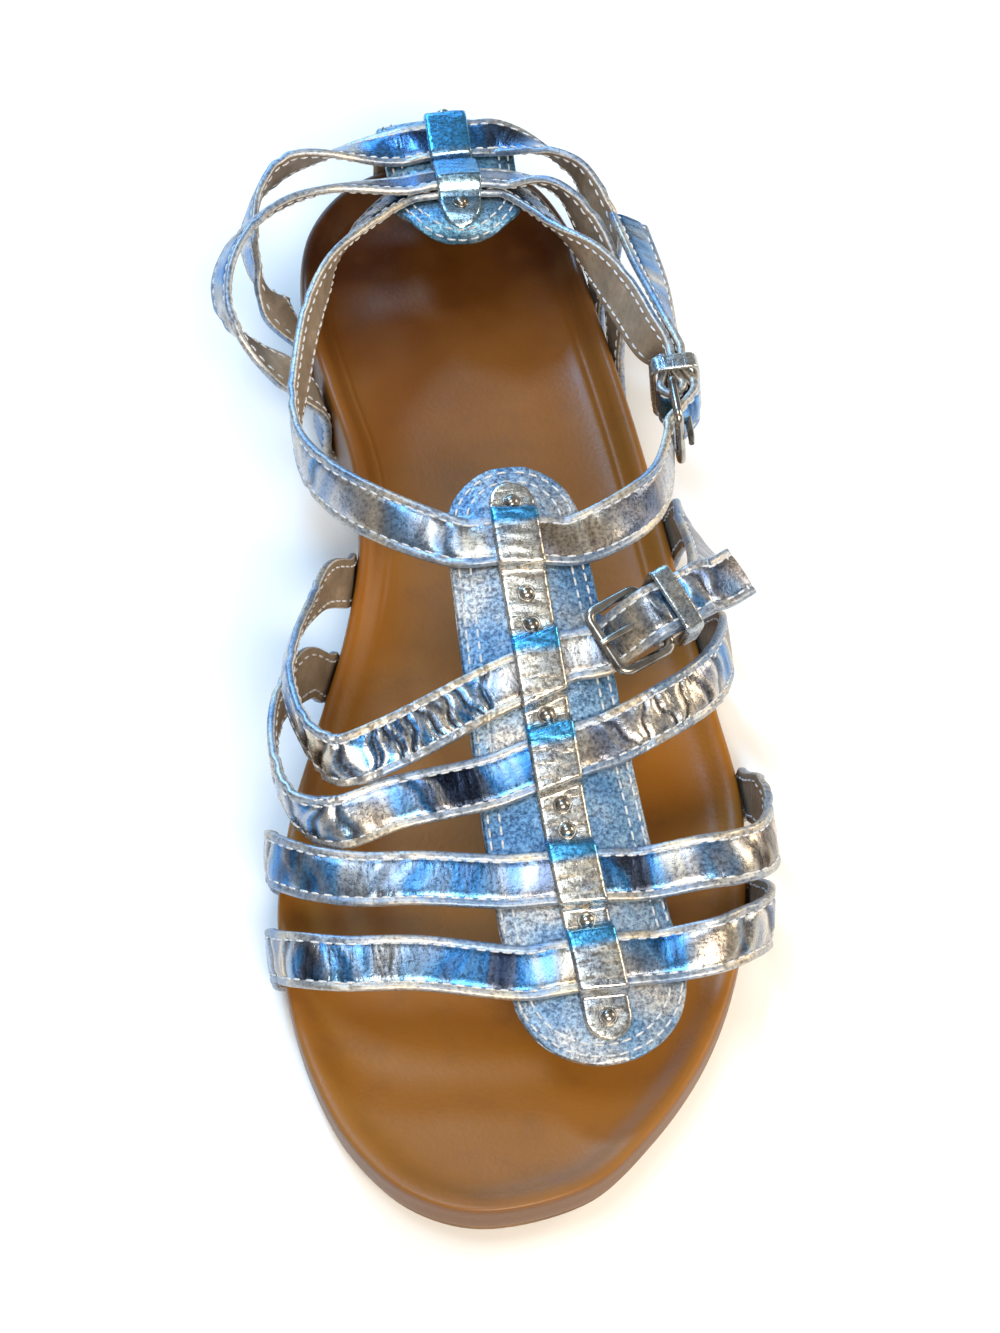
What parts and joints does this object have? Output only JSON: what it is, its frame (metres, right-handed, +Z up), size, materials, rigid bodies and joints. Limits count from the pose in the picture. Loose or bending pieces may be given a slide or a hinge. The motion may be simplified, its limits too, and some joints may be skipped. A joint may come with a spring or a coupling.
{
  "type": "gladiator sandal",
  "caption": "Flat strappy sandal for the left foot, with a riveted instep strip, a heel stay, and buckled instep and ankle straps over a moulded footbed.",
  "frame": {"origin": "on the floor under the middle of the heel's flat spot", "axes": "+Z up, toe towards -Y, outer side of the left foot towards +X"},
  "size_m": [0.1054, 0.2494, 0.0552],
  "materials": {
    "rubber_sole": "dark brown moulded rubber, slightly rough",
    "footbed_brown": "smooth warm brown moulded footbed with a soft sheen",
    "silver_leather": "crinkled silver foil leather with light stitching and a tan lining",
    "antique_nickel": "polished nickel, a little darkened"
  },
  "bodies": {
    "root": {"ankle_buckle": "antique_nickel", "ankle_loop": "silver_leather", "ankle_prong": "antique_nickel", "ankle_strap": "silver_leather", "ball_strap": "silver_leather", "footbed": "footbed_brown", "heel_keeper": "silver_leather", "heel_rivet_1": "antique_nickel", "heel_rivet_2": "antique_nickel", "heel_rivet_3": "antique_nickel", "heel_stay": "silver_leather", "high_heel_strap": "silver_leather", "instep_buckle": "antique_nickel", "instep_buckle_strap": "silver_leather", "instep_keeper": "silver_leather", "instep_loop": "silver_leather", "instep_panel": "silver_leather", "instep_prong": "antique_nickel", "instep_rivet_1": "antique_nickel", "instep_rivet_2": "antique_nickel", "instep_rivet_3": "antique_nickel", "instep_rivet_4": "antique_nickel", "instep_rivet_5": "antique_nickel", "instep_rivet_6": "antique_nickel", "instep_rivet_7": "antique_nickel", "instep_rivet_8": "antique_nickel", "instep_strap": "silver_leather", "low_heel_strap": "silver_leather", "outsole": "rubber_sole", "toe_strap": "silver_leather", "vamp_strap": "silver_leather"}
  },
  "joints": []
}
